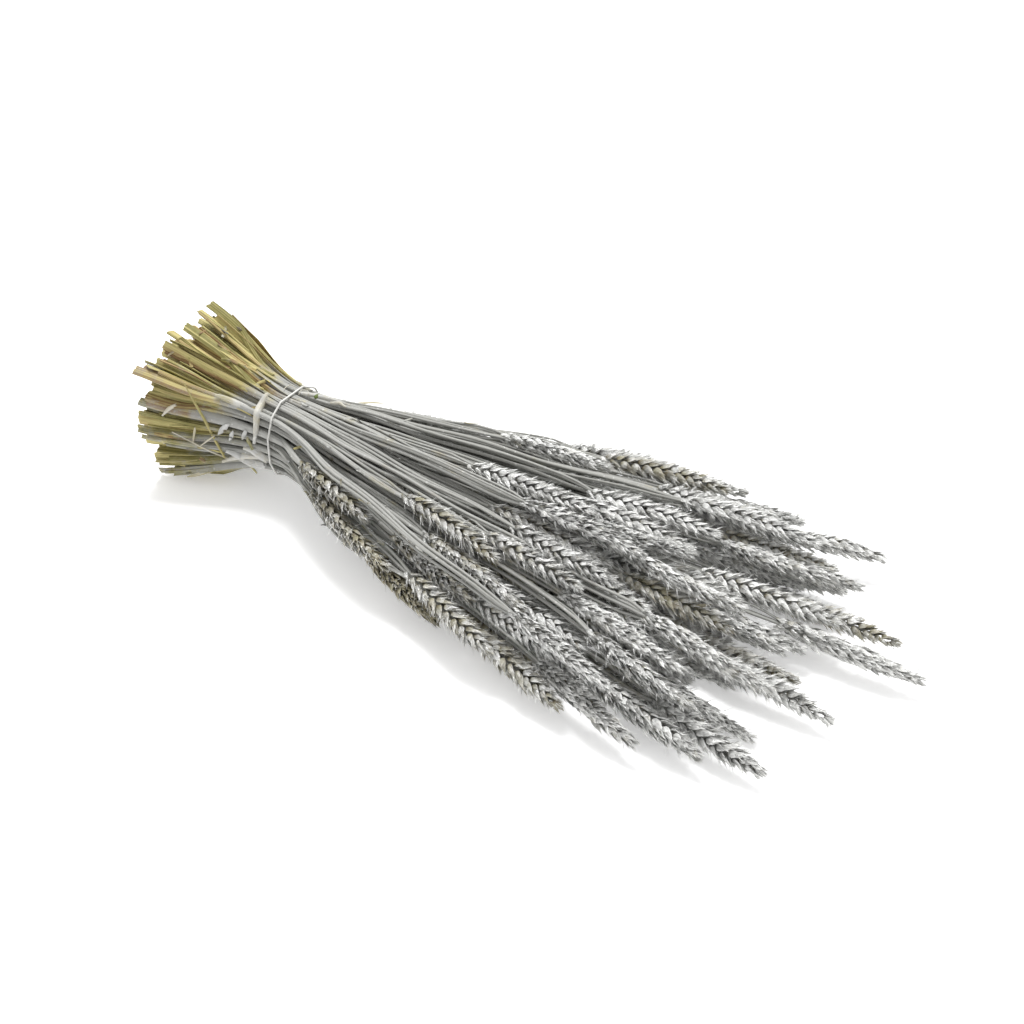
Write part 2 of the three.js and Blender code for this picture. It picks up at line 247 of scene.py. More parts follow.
def centre_line(straw, x):
    """Points of a straw's centre line at the given x, from its cut end to the tip of its ear."""
    neck, tip = straw["neck"], straw["tip"]
    t = np.array([1 / 3, 2 / 3])[:, None]
    ear = neck + t * (tip - neck)
    ear[:, 1:] += 4 * t * (1 - t) * straw["bend"]
    known = np.vstack([straw["cut"], straw["band"], *straw["rings"], ear, tip])
    wave = WAVE * smoothstep(15 * MM, 60 * MM, abs(x - BAND[0])) * smoothstep(0, 40 * MM, tip[0] - x)
    phase = x / WAVE_STEP * (1 + 0.3 * math.sin(straw["number"] * 5.1)) + straw["number"] * 2.4
    wobble = wave[:, None] * np.column_stack([np.sin(phase), np.cos(0.83 * phase)])
    return np.column_stack([x, monotone(known[:, 0], known[:, 1:], x) + wobble])


def frames_along(points, roll=0.0):
    """Unit vectors along a path, across it in plan, and up from it, turned by roll about the path."""
    along = unit(np.gradient(points, axis=0))
    across = unit(np.cross([0, 0, 1.0], along))
    up = np.cross(along, across)
    roll = np.reshape(roll, (-1, 1))
    c, s = np.cos(roll), np.sin(roll)
    return along, across * c + up * s, up * c - across * s


# %% [markdown]
# ## Collecting a mesh
#
# A piece holds thousands of small closed shapes. Each is a block of points with the same list of faces,
# so a piece is built as whole arrays: points, faces, and for each point the numbers that the material
# reads. *grain* is a place in a stretched pattern that runs along the fibres, *paint* says how much
# silver the spray left there, and below -0.3 it gives a near-black painted shade. The third number, the
# tone, differs from one straw or husk to the next; on a husk it also holds a painted shade towards the foot
# and painted highlights on the tip and the two edges.

# %% Mesh collector
TABLE_SOFT = 1.6 * MM
SHARP = math.radians(75)  # edges that fold more than this show as a crease
built = []  # the pieces of the visible model


def above_table(points):
    """What would reach below the table is pressed flat: heights under 1.6 mm shrink towards zero."""
    z = points[:, 2]
    low = TABLE_SOFT * np.exp(np.minimum(z - TABLE_SOFT, 0) / TABLE_SOFT)
    return np.column_stack([points[:, :2], np.where(z < TABLE_SOFT, low, z)])


class Piece:
    """Blocks of points and faces, put into one mesh at the end."""

    def __init__(self):
        self.blocks = []
        self.count = 0

    def add(self, points, faces, grain, paint, tone, finish):
        """points (n, 3), faces (m, 4) with a repeated last corner for triangles, one finish number."""
        n = len(points)
        self.blocks.append((
            points, faces + self.count, grain,
            np.broadcast_to(paint, n), np.broadcast_to(tone, n), np.full(len(faces), finish),
        ))
        self.count += n

    def build(self, name, finishes, body="root"):
        """One mesh of all blocks, with its attributes and finishes, riding on the body."""
        points, faces, grain, paint, tone, finish = (np.concatenate(b) for b in zip(*self.blocks))
        self.points, self.straw_faces = above_table(points), faces[finish == STRAW]
        is_tri = faces[:, 2] == faces[:, 3]
        sizes = np.where(is_tri, 3, 4).astype(np.int32)
        used = np.ones(faces.shape, bool)
        used[is_tri, 3] = False
        mesh = bpy.data.meshes.new(name)
        mesh.vertices.add(len(points))
        mesh.vertices.foreach_set("co", self.points.astype(np.float32).ravel())
        mesh.loops.add(int(sizes.sum()))
        mesh.loops.foreach_set("vertex_index", faces[used].astype(np.int32))
        mesh.polygons.add(len(faces))
        mesh.polygons.foreach_set("loop_start", (np.cumsum(sizes) - sizes).astype(np.int32))
        mesh.polygons.foreach_set("loop_total", sizes)
        mesh.polygons.foreach_set("material_index", finish.astype(np.int32))
        mesh.update(calc_edges=True)
        mesh.polygons.foreach_set("use_smooth", np.ones(len(faces), bool))
        mesh.set_sharp_from_angle(angle=SHARP)
        for key, kind, field, values in (
            ("grain", "FLOAT_VECTOR", "vector", grain),
            ("paint", "FLOAT", "value", paint),
            ("tone", "FLOAT", "value", tone),
        ):
            data = mesh.attributes.new(key, kind, "POINT").data
            data.foreach_set(field, values.astype(np.float32).ravel())
        for material in finishes:
            mesh.materials.append(material)
        piece = bpy.data.objects.new(name, mesh)
        bpy.context.scene.collection.objects.link(piece)
        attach(piece, body)
        built.append(piece)
        return piece


def grid_faces(rows, columns):
    """Quads between neighbouring points of a grid whose last column joins its first."""
    r, c = np.meshgrid(np.arange(rows - 1), np.arange(columns), indexing="ij")
    a, b = r * columns + c, r * columns + (c + 1) % columns
    return np.stack([a, b, b + columns, a + columns], -1).reshape(-1, 4)


def fan(ring, centre, flip=False):
    """Triangles from a ring of corner numbers to one centre corner."""
    nxt = np.roll(ring, -1)
    middle = np.full(len(ring), centre)
    pair = (nxt, ring) if flip else (ring, nxt)
    return np.stack([*pair, middle, middle], -1)


def tube_faces(rows, sides):
    """Faces of a tube of rings. Two more points close it, one at the first ring and one at the last."""
    first, count = np.arange(sides), rows * sides
    return np.concatenate([
        grid_faces(rows, sides), fan(first, count, flip=True), fan(first + count - sides, count + 1),
    ])


def times(amount, way):
    """Each row's direction, times each of that row's amounts."""
    return amount[..., None] * way[:, None]


def tube_rings(middle, wide, deep, across, up, a, shape=1.0):
    """Ring points = middle + shape * (wide * cos(a) * across + deep * sin(a) * up)."""
    return (
        middle[:, None] + times(wide[:, None] * np.cos(a) * shape, across)
        + times(deep[:, None] * np.sin(a) * shape, up)
    )


LENGTHWISE = 25  # waves of grain to a metre of straw
ANYWHERE = 90  # each pattern of grain starts at random within this many waves


def tube_grain(a, run, turns, draw):
    """Grain of a tube's points: turns * (cos(a), sin(a)), and LENGTHWISE * run along it."""
    around, along = np.tile(a, len(run)), np.repeat(LENGTHWISE * run, len(a))
    grain = np.column_stack([turns * np.cos(around), turns * np.sin(around), along])
    return np.concatenate([grain, grain[:1], grain[-1:]]) + draw.uniform(0, ANYWHERE, 3)


# %% [markdown]
# ## The finishes
#
# The bundle was sprayed with silver paint above the band. The paint is a thin satin coat with metal
# flakes: it keeps the ribs of the straw, leaves the deep places bare, where a near-black painted shade
# stands in for their shade, and thins out towards the cut ends, where olive, yellow and tan straw shows. So
# one recipe serves straws and husks. It mixes a bare colour and a silver by a cover that starts from the
# *paint* attribute and is broken up by fine specks.

# %% Material helpers


class Net:
    """A material's nodes. Each method adds one node, takes numbers or sockets, and gives its output."""

    def __init__(self, name):
        self.material = bpy.data.materials.new(name)
        self.material.use_nodes = True
        self.tree = self.material.node_tree
        self.shader = self.tree.nodes["Principled BSDF"]

    def put(self, socket, value):
        """Link a socket, or set a number on it. A tuple is a colour."""
        if isinstance(value, bpy.types.NodeSocket):
            self.tree.links.new(value, socket)
        else:
            socket.default_value = (*value, 1) if isinstance(value, tuple) else value

    def node(self, kind, inputs, **settings):
        node = self.tree.nodes.new(kind)
        for key, value in settings.items():
            setattr(node, key, value)
        for key, value in inputs.items():
            self.put(node.inputs[key], value)
        return node

    def place(self):
        return self.node("ShaderNodeTexCoord", {}).outputs["Object"]

    def attribute(self, name, output="Fac"):
        return self.node("ShaderNodeAttribute", {}, attribute_name=name).outputs[output]

    def noise(self, vector, scale, detail=2.0, roughness=0.5):
        inputs = {"Vector": vector, "Scale": scale, "Detail": detail, "Roughness": roughness}
        return self.node("ShaderNodeTexNoise", inputs).outputs["Fac"]

    def math(self, operation, a, b=0.0, c=0.0):
        return self.node("ShaderNodeMath", {0: a, 1: b, 2: c}, operation=operation).outputs[0]

    def span(self, value, low, high, to_low=0.0, to_high=1.0):
        inputs = {"Value": value, "From Min": low, "From Max": high, "To Min": to_low, "To Max": to_high}
        return self.node("ShaderNodeMapRange", inputs, interpolation_type="SMOOTHSTEP").outputs["Result"]

    def mix(self, a, b, share):
        inputs = {"Factor": share, 6: a, 7: b}
        return self.node("ShaderNodeMix", inputs, data_type="RGBA").outputs[2]

    def ramp(self, value, stops):
        """Colours by value. The stops are the two that the node has, then the added ones."""
        node = self.node("ShaderNodeValToRGB", {0: value})
        for k, (at, colour) in enumerate(stops):
            stop = node.color_ramp.elements[k] if k < 2 else node.color_ramp.elements.new(at)
            stop.position, stop.color = at, (*colour, 1)
        return node.outputs[0]

    def bump(self, height, strength, distance):
        inputs = {"Height": height, "Strength": strength, "Distance": distance}
        return self.node("ShaderNodeBump", inputs).outputs["Normal"]

    def finish(self, **inputs):
        """Fill the shader's inputs, and give the material."""
        for key, value in inputs.items():
            self.put(self.shader.inputs[key.replace("_", " ")], value)
        return self.material


# %% [markdown]
# ## Spray over straw
#
# Under the paint, dry straw is olive, yellow, tan or red-brown, in streaks along its fibres, and its furrows
# are darkened as painted shade. Fine spray dries in specks where it thins out and leaves the ribs of the
# straw darker, and a few of its flakes are made lighter in colour as painted glints. All of that is noise:
# stretched along the grain for the fibres, and round for the paint.

# %% The sprayed recipe
# How fine each pattern is, in waves to the metre.
BLOTCHES, CLOUDS, FLAKES, SPECKS, GRIT = 95.0, 240.0, 520.0, 700.0, 1900.0
# Painted shade for the furrows of the straw, painted glints for the flakes, and a near-black painted shade
# for hollows and deep places.
PAINTED_FURROW_SHADE, PAINTED_GLINT, PAINTED_HOLLOW_SHADE = (0.09, 0.055, 0.018), (0.8, 0.8, 0.78), (0.03, 0.02, 0.008)


def sprayed(name, bare, silver, ribs, flakes, metal, rough, relief):
    """cover = paint + specks; colour = bare mixed to silver by cover, and turned to a near-black painted
    shade where paint is below -0.3. ribs says how much darker the fibres are than the coat, and how strong
    the painted glints on the flakes are. The bump is fibre + flakes * grit."""
    net = Net(name)
    place, grain = net.place(), net.attribute("grain", "Vector")
    paint, tone = net.attribute("paint"), net.attribute("tone")
    fibre = net.noise(grain, 1.0, 3.0)
    blotch = net.noise(place, BLOTCHES, 3.0)
    speck = net.noise(place, SPECKS, 2.0, 0.6)
    streak = net.math("MULTIPLY_ADD", net.noise(grain, 0.4, 3.0), 1.5, net.math("MULTIPLY", blotch, 0.5))
    age = net.math("MULTIPLY_ADD", tone, 0.8, net.math("SUBTRACT", streak, 0.94))
    straw = net.ramp(age, bare)
    # painted shade: the furrows of the bare straw are darkened
    straw = net.mix(straw, PAINTED_FURROW_SHADE, net.span(fibre, 0.5, 0.8, 0.0, 0.6))
    worn = net.math("MULTIPLY_ADD", speck, 0.6, net.math("MULTIPLY_ADD", blotch, 1.3, -0.95))
    cover = net.span(net.math("ADD", paint, worn), 0.1, 0.9)
    shade = net.math("MULTIPLY_ADD", tone, 0.5, net.math("MULTIPLY", net.noise(place, CLOUDS, 2.0), 0.5))
    coat = net.ramp(shade, silver)
    coat = net.mix(coat, silver[0][1], net.span(fibre, 0.48, 0.7, 0.0, ribs))
    # painted glints: some flakes are made lighter in colour, by as much as ribs says
    coat = net.mix(coat, PAINTED_GLINT, net.span(net.noise(place, FLAKES, 1.0), 0.66, 0.76, 0.0, ribs))
    colour = net.mix(straw, coat, cover)
    # painted shade: where paint is below -0.3 the colour turns near-black, as in the hollow of a straw
    colour = net.mix(PAINTED_HOLLOW_SHADE, colour, net.span(paint, -0.8, -0.3))
    height = net.math("MULTIPLY_ADD", net.noise(place, GRIT, 2.0), flakes, fibre)
    return net.finish(
        Base_Color=colour,
        Metallic=net.math("MULTIPLY", cover, metal),
        Roughness=net.span(speck, 0.25, 0.75, *rough),
        Normal=net.bump(height, 0.7, relief),
    )


OLIVE, YELLOW, TAN, RUST = (0.17, 0.155, 0.04), (0.50, 0.44, 0.18), (0.39, 0.31, 0.13), (0.19, 0.11, 0.04)
straw_finish = sprayed(
    "sprayed straw", [(0.14, OLIVE), (0.86, RUST), (0.45, YELLOW), (0.65, TAN)],
    [(0.15, (0.28, 0.28, 0.258)), (0.85, (0.38, 0.38, 0.36))],
    ribs=0.4, flakes=0.4, metal=0.0, rough=(0.6, 0.8), relief=0.0004,
)
husk_finish = sprayed(
    "sprayed husk", [(0.12, (0.15, 0.125, 0.07)), (0.9, (0.42, 0.38, 0.28)), (0.5, (0.30, 0.285, 0.19))],
    [(0.05, (0.11, 0.11, 0.104)), (0.8, (0.97, 0.97, 0.945))],
    ribs=0.75, flakes=1.2, metal=0.5, rough=(0.26, 0.48), relief=0.0012,
)
GREEN, PALE, DULL, SANDY = (0.10, 0.15, 0.02), (0.60, 0.56, 0.45), (0.26, 0.24, 0.09), (0.42, 0.38, 0.25)
leaf_finish = sprayed(
    "dry leaf", [(0.0, GREEN), (1.0, PALE), (0.2, DULL), (0.5, SANDY)],
    [(0.1, (0.33, 0.33, 0.315)), (0.9, (0.62, 0.62, 0.605))],
    ribs=0.6, flakes=0.5, metal=0.15, rough=(0.45, 0.65), relief=0.0005,
)
FINISHES = [straw_finish, husk_finish, leaf_finish]
STRAW, HUSKS, LEAF = range(3)

# %% [markdown]
# ## The straw
#
# A wheat straw is a hollow tube about 4 mm thick, ribbed lengthwise and thinner towards the ear, with a
# swollen knot here and there. It is a circle carried along the centre line. At the cut end it is
# squashed wide, and the tube turns inside itself, so the hollow and the thickness of the wall show. The
# ribs are left to the finish.

# %% Straws
SIDES = 10
WALL = 0.4 * MM
CUT_HALF_WIDTH, CUT_HALF_DEPTH = 3.1 * MM, 1.5 * MM
STRAW_R = [1.6 * MM, 1.3 * MM, 1.0 * MM]  # at the band, 60 mm on, and at the neck
BORE = 14 * MM  # how deep the hollow is modelled
KNOT_SWELL, KNOT_LONG = 0.2, 2.5 * MM
CLOSE_RINGS, CLOSE_END = 24, 40 * MM  # rings from the cut end to this far past the band
OPEN_START, OPEN_STEP = 46 * MM, 7 * MM  # where the rings beyond begin, and their spacing
BRUSH_MIDDLE = np.mean([s["cut"] for s in straws], axis=0)


def outward(straw):
    """The angle, from +Y towards +Z, in which a straw's cut end lies from the middle of the brush."""
    off = straw["cut"] - BRUSH_MIDDLE
    return math.atan2(off[2], off[1])


def straw_radii(straw, x):
    """Half width and half depth along a straw: flat at the cut, round at the band, thin at the neck."""
    draw = np.random.default_rng(100 + straw["number"])
    cut, band, neck = straw["cut"][0], BAND[0], straw["neck"][0]
    r = STRAW_R[0] + (STRAW_R[1] - STRAW_R[0]) * smoothstep(band, band + 60 * MM, x)
    r = r + (STRAW_R[2] - r) * smoothstep(band + 20 * MM, max(neck, band + 70 * MM), x)
    r = r * draw.uniform(0.86, 1.06)
    flat = 1 - smoothstep(cut + 5 * MM, band - 8 * MM, x)
    wide = r + (CUT_HALF_WIDTH * draw.uniform(0.8, 1.1) - r) * flat
    deep = r * draw.uniform(0.86, 1.0) + (CUT_HALF_DEPTH * draw.uniform(0.7, 1.2) - r) * flat
    for knot in (band + draw.uniform(40, 170) * MM, band - draw.uniform(25, 70) * MM):
        swell = 1 + KNOT_SWELL * np.exp(-(((x - knot) / KNOT_LONG) ** 2))
        wide, deep = wide * swell, deep * swell
    return wide, deep


def spray_on(straw, x):
    """How silver a straw and its sheaths are along their length. The far top side of the brush stayed
    bare almost as far as the band, and the rest caught a thin uneven mist."""
    draw = np.random.default_rng(200 + straw["number"])
    off = straw["cut"] - BRUSH_MIDDLE
    bare = smoothstep(0, 24 * MM, 0.6 * off[1] + 0.8 * off[2])
    edge = BAND[0] - (38 - 20 * bare + draw.normal(0, 8)) * MM
    width = draw.uniform(14, 32) * MM
    mist = draw.uniform(0.0, 0.55) * (1 - bare) - 0.1
    return mist + (draw.uniform(0.9, 1.15) - mist) * smoothstep(edge - width, edge + width, x)


def add_straw(piece, straw):
    """A ring of points at each x: centre + wide * cos(a) * across + deep * sin(a) * up, then the bore."""
    draw = np.random.default_rng(300 + straw["number"])
    neck, tip = straw["neck"], straw["tip"]
    close = np.linspace(straw["cut"][0], BAND[0] + CLOSE_END, CLOSE_RINGS)
    spread = np.arange(BAND[0] + OPEN_START, neck[0], OPEN_STEP)
    in_ear = neck[0] + np.linspace(0.05, 0.86, 7) * (tip[0] - neck[0])
    x = np.concatenate([close, spread, in_ear[in_ear > close[-1] + 1 * MM]])
    middle = centre_line(straw, x)
    wide, deep = straw_radii(straw, x)
    flat_side = outward(straw) + math.pi / 2 + draw.normal(0, 0.35)
    along, across, up = frames_along(middle, flat_side * (1 - smoothstep(straw["cut"][0], BAND[0], x)))
    a = np.arange(SIDES) * 2 * math.pi / SIDES
    shape = 1 + 0.04 * np.cos(3 * a + draw.uniform(0, 6))
    tube = tube_rings(middle, wide, deep, across, up, a, shape)
    tube[0] += (draw.normal(0, 0.35, SIDES) * MM + draw.normal(0, 1.0) * MM * np.cos(a))[:, None] * along[0]
    inner = middle[0] + (tube[0] - middle[0]) * (1 - WALL / deep[0])
    depth = (centre_line(straw, x[:1] + BORE) - middle[0]) * np.array([1.0, 0.04])[:, None]
    bore = inner[None] + depth[:, None]
    rings = np.concatenate([bore, tube])
    points = np.concatenate([rings.reshape(-1, 3), bore[0].mean(0)[None], middle[-1:]])
    run = np.concatenate([[x[0] + BORE, x[0]], x])
    grain = tube_grain(a, run, 6, draw)
    paint = np.repeat(spray_on(straw, run), SIDES)
    paint[: 2 * SIDES] = -1.0  # the hollow was never sprayed; -1 makes the finish paint it a near-black painted shade
    paint = np.append(paint, paint[[0, -1]])
    piece.add(points, tube_faces(len(rings), SIDES), grain, paint, draw.random(), STRAW)


# %% [markdown]
# ## Side shoots
#
# A wheat plant also grows thin shoots that stay without an ear. They fill the gaps between the straws.
# A shoot starts near the cut end of one straw, is pressed close to it in the band, winds slowly about it,
# and ends hidden in its ear.

# %% Shoots
SHOOTS, SHOOT_SIDES = 3, 8  # beside each straw, and the corners of a shoot's ring
SHOOT_R = [1.1 * MM, 0.75 * MM]  # at its foot and at its end
SHOOT_REACH = [1.4 * MM, 5.5 * MM]  # from the middle of its straw, at the band and in the fan


def add_shoot(piece, straw, number):
    """Tube round middle + reach * (cos(turn) * across + sin(turn) * up), the turn drifting along it."""
    draw = np.random.default_rng(500 + 7 * straw["number"] + number)
    neck, tip = straw["neck"], straw["tip"]
    start = straw["cut"][0] + draw.uniform(0, 14) * MM
    last = neck[0] + draw.uniform(0.15, 0.6) * (tip[0] - neck[0])
    x = np.linspace(start, last, int((last - start) / (9 * MM)))
    t = (x - start) / (last - start)
    line = centre_line(straw, x)
    _, across, up = frames_along(line)
    turn = draw.uniform(0, 2 * math.pi) + draw.normal(0, 1.6) * t
    apart = smoothstep(10 * MM, 70 * MM, abs(x - BAND[0]))
    reach = SHOOT_REACH[0] + (draw.uniform(0.5, 1) * SHOOT_REACH[1] - SHOOT_REACH[0]) * apart
    reach *= 1 - 0.75 * smoothstep(neck[0] - 12 * MM, neck[0] + 8 * MM, x)
    path = line + (reach * np.cos(turn))[:, None] * across + (reach * np.sin(turn))[:, None] * up
    r = (SHOOT_R[0] + (SHOOT_R[1] - SHOOT_R[0]) * t) * draw.uniform(0.8, 1.15)
    a = np.arange(SHOOT_SIDES) * 2 * math.pi / SHOOT_SIDES
    _, across, up = frames_along(path)
    rings = tube_rings(path, r, r, across, up, a)
    points = np.concatenate([rings.reshape(-1, 3), path[:1], path[-1:]])
    grain = tube_grain(a, x, 5, draw)
    paint = np.repeat(spray_on(straw, x) + draw.normal(0, 0.05), SHOOT_SIDES)
    paint = np.append(paint, paint[[0, -1]])
    piece.add(points, tube_faces(len(x), SHOOT_SIDES), grain, paint, draw.random(), STRAW)


# %% [markdown]
# ## The leaf sheaths
#
# Low on a wheat stalk old leaves wrap the straw, so most cut ends are wide flat ribbons, not tubes. A
# sheath is a thin strip, bowed across: near the band it hugs the straw, and towards the cut end it opens
# out flat. It has a closed cross section, outer face and inner face, carried along beside the straw.

# %% Strips
COLUMNS = 7  # of points across a strip
SHEATH_THICK, LEAF_THICK, BIT_THICK, SCRAP_THICK = 0.32 * MM, 0.35 * MM, 0.3 * MM, 0.25 * MM


def strip(path, across, up, half, curl, thick, ragged=0.0):
    """Outer point = path + half * (sin(curl v) * across + (cos(curl v) - 1) * up) / curl, v from 1 to -1.
    The inner face is thick below it, and the two are joined along both edges and at both ends. The first
    row is torn back by ragged along the path, a number or one for each column."""
    v = np.linspace(1, -1, COLUMNS)
    angle = curl[:, None] * v
    s, c = np.sin(angle), np.cos(angle)
    radius = (half / curl)[:, None]
    outer = path[:, None] + times(radius * s, across) + times(radius * (c - 1), up)
    inward = path[1] - path[0]
    outer[0] += np.broadcast_to(ragged, COLUMNS)[:, None] * inward / np.linalg.norm(inward)
    inner = outer - thick * (times(s, across) + times(c, up))
    loop = np.concatenate([outer, inner[:, ::-1]], axis=1)
    rows, ring = len(path), 2 * COLUMNS
    k = np.arange(COLUMNS - 1)
    start = np.stack([k + 1, k, ring - 1 - k, ring - 2 - k], -1)
    end = start[:, ::-1] + (rows - 1) * ring
    faces = np.concatenate([grid_faces(rows, ring), start, end])
    width = np.concatenate([v, v[::-1]])
    return loop.reshape(-1, 3), faces, np.tile(width, rows)


def strip_grain(width, along, draw):
    """Grain of a strip's points: a number across it and one along it, from a random place."""
    return np.column_stack([width, 0 * width, along]) + draw.uniform(0, ANYWHERE, 3)


SHEATH_TURN = [0.0, 1.3, -1.3]  # how far round the straw each of its sheaths sits from the outside


def add_sheath(piece, straw, number):
    """A strip beside the straw, from its cut end to near the band or a little past it."""
    draw = np.random.default_rng(1000 + 7 * straw["number"] + number)
    cut = straw["cut"][0] - draw.uniform(-12 if number else -5, 5) * MM
    last = BAND[0] + draw.uniform(-14, 36) * MM
    x = np.linspace(cut, last, 15)
    inside = np.maximum(x, straw["cut"][0])
    middle = centre_line(straw, inside) + np.column_stack([x - inside, 0 * x, 0 * x])
    _, deep = straw_radii(straw, inside)
    t = (x - cut) / (last - cut)
    side = outward(straw) - math.pi / 2 + SHEATH_TURN[number] + draw.normal(0, 0.4)
    side = side + draw.normal(0, 0.35) * t
    _, across, up = frames_along(middle, side)
    hug = smoothstep(0.25, 0.8, t)
    taper = 1 - 0.9 * smoothstep(0.6, 1.0, t)
    half = draw.uniform(2.4, 3.5) * MM * taper
    curl = (0.15 + draw.uniform(0, 0.45)) * (1 - hug) + half / (deep + 0.3 * MM) * hug
    loose = (1 - hug) ** 1.5
    lift = deep + (0.35 * taper - 0.1 * (1 - taper)) * MM
    lift = lift + draw.uniform(0.0, 1.0 + 1.2 * number) * MM * loose
    stray = (draw.normal(0, 3.0) + draw.normal(0, 0.8) * np.sin(9 * t + draw.uniform(0, 6))) * MM * loose
    path = middle + lift[:, None] * up + stray[:, None] * across
    cut_edge = (draw.uniform(-0.5, 0.6, COLUMNS) + draw.normal(0, 0.7) * np.linspace(1, -1, COLUMNS)) * MM
    points, faces, width = strip(path, across, up, half, curl, SHEATH_THICK, cut_edge)
    run = np.repeat(x, 2 * COLUMNS)
    grain = strip_grain(7 * width, 22 * run, draw)
    paint = spray_on(straw, run) + draw.normal(-0.04, 0.06)
    piece.add(points, faces, grain, paint, draw.random(), STRAW)


# %% [markdown]
# ## The ear
#
# An ear carries about twenty-three spikelets, left and right by turns, each a fan of boat-shaped husks
# that end in a short point. One husk is a small closed shape of five six-cornered rings, a beak and a
# foot. The ear lays two hundred copies of it along its axis, all at once, each turned as its fan asks.

# %% One husk
STAGES = np.array([0.0, 0.16, 0.44, 0.74, 0.95])  # where its rings are, as a share of its length
HALF_WIDTH = np.array([0.40, 0.88, 1.0, 0.70, 0.22])
CORNERS = np.array([[0, 0.62], [-0.56, 0.33], [-1, 0.0], [0, -0.2], [1, 0.0], [0.56, 0.33]])
BEAK = np.array([[1.3, 0, 0.06]])
FOOT = np.array([[-0.03, 0, 0.1]])
TWIST = 0.3  # how far a husk turns about its length, in radians, one way or the other


def husk_template():
    """Rings of a keeled, bulging boat of length 1 and half width 1, its beak and its foot."""
    sides = len(CORNERS)
    across = (CORNERS[None] * HALF_WIDTH[:, None, None]).reshape(-1, 2)
    rings = np.column_stack([np.repeat(STAGES, sides), across])
    count, ring = len(rings), np.arange(sides)
    faces = np.concatenate([
        grid_faces(len(STAGES), sides), fan(ring + count - sides, count), fan(ring, count + 1, flip=True),
    ])
    return np.concatenate([rings, BEAK, FOOT]), faces


HUSK, HUSK_FACES = husk_template()
# which of a husk's points lie on its two edges or are its beak: these get a painted highlight
HUSK_HIGHLIGHT_RIM = np.append(np.tile(abs(CORNERS[:, 0]) == 1, len(STAGES)), [True, False])
print("a husk has", len(HUSK), "points and", len(HUSK_FACES), "faces")


def place_husks(piece, seat, heading, keel, long, half, curl, paint, tone, draw):
    """For every husk, the template's point (t, side, height) goes to
    seat + long * (t * heading - curl * t² * keel) + half * (side * across + height * keel)."""
    heading = unit(heading)
    keel = unit(keel - (keel * heading).sum(1)[:, None] * heading)
    across = np.cross(keel, heading)
    t, side, height = HUSK.T
    n, m = len(seat), len(HUSK)
    turn = draw.normal(0, TWIST, n)[:, None] * t
    level = side * np.cos(turn) - height * np.sin(turn)
    rise = side * np.sin(turn) + height * np.cos(turn)
    points = (
        seat[:, None] + times(long[:, None] * t, heading) + times(half[:, None] * level, across)
        + times(half[:, None] * rise - (curl * long)[:, None] * t**2, keel)
    )
    faces = (HUSK_FACES[None] + (np.arange(n) * m)[:, None, None]).reshape(-1, 4)
    own = np.broadcast_to(draw.uniform(0, 300, n)[:, None], (n, m))
    grain = np.stack([np.broadcast_to(side * 2.6, (n, m)), np.broadcast_to(t * 0.9, (n, m)), own], -1)
    # little spray reached the foot of a husk, and where the cover falls below -0.3 the foot turns to the
    # near-black painted shade; the tone is darker towards the foot as painted shade, and the tip and the two
    # edges are lighter as a painted highlight
    cover = paint[:, None] - 0.6 * np.exp(-t / 0.15)
    shade = tone[:, None] + 0.9 * (t - 0.6) + 0.4 * HUSK_HIGHLIGHT_RIM - 0.05
    piece.add(points.reshape(-1, 3), faces, grain.reshape(-1, 3), cover.ravel(), shade.ravel(), HUSKS)


def place_bristles(piece, seat, way, half, paint, tone):
    """Thin three-sided spikes: three corners half away from the seat, and a point at seat + way."""
    n = len(seat)
    side = unit(np.cross(way, [0.3, 0.5, 0.8]))
    other = np.cross(unit(way), side)
    a = np.arange(3) * 2 * math.pi / 3
    foot = seat[:, None] + half * (np.cos(a)[:, None] * side[:, None] + np.sin(a)[:, None] * other[:, None])
    points = np.concatenate([foot, (seat + way)[:, None]], axis=1)
    spike = np.array([[0, 1, 3, 3], [1, 2, 3, 3], [2, 0, 3, 3], [2, 1, 0, 0]])
    faces = (spike[None] + 4 * np.arange(n)[:, None, None]).reshape(-1, 4)
    piece.add(points.reshape(-1, 3), faces, np.zeros((4 * n, 3)), paint, np.repeat(tone, 4), HUSKS)


# %% [markdown]
# ## Spikelets along the ear
#
# Two short broad glumes hold each spikelet, then two husks over grains left and right, and smaller ones
# between them. They leave the axis steeply and curl back along it, so the ear stays compact. The two
# ranks of spikelets, seen from the flat side, make the herringbone of an ear of wheat.

# %% Ears
# For each husk of the fan: place across the fan and forward (mm), spread across the fan, lean away from
# the axis and turn of the keel (degrees), length and half width (mm).
SPIKELET = np.array([
    [-2.8, 0.0, -14, 19, -64, 5.8, 2.1],
    [2.8, 0.0, 14, 22, 64, 5.8, 2.1],
    [-2.3, 1.5, -20, 31, -46, 7.8, 1.8],
    [2.3, 1.8, 20, 36, 46, 7.6, 1.8],
    [-1.5, 2.6, -12, 25, -30, 8.6, 1.2],
    [1.7, 3.0, 14, 49, 34, 6.6, 1.5],
    [-0.8, 2.8, -6, 47, -14, 7.6, 1.7],
    [0.9, 4.0, 8, 41, 18, 7.2, 1.5],
    [0.0, 5.2, 0, 29, 0, 6.6, 1.3],
])
SPIKELET_PITCH = [2.7 * MM, 3.4 * MM]  # between spikelets of both rows together, from tight to lax ears
CURL = 0.15  # how far a husk's end has curled back, as a share of its length
TOP_LEAN = 0.3  # how much of their lean the topmost spikelets keep
BRISTLES = 9  # short stiff points that stand out of a spikelet
BRISTLE_R = 0.27 * MM
FIRST = 0.012  # where the lowest spikelet sits, as a share of the ear
AXIS_STEPS = 11  # the ear's bent axis is followed in this many steps


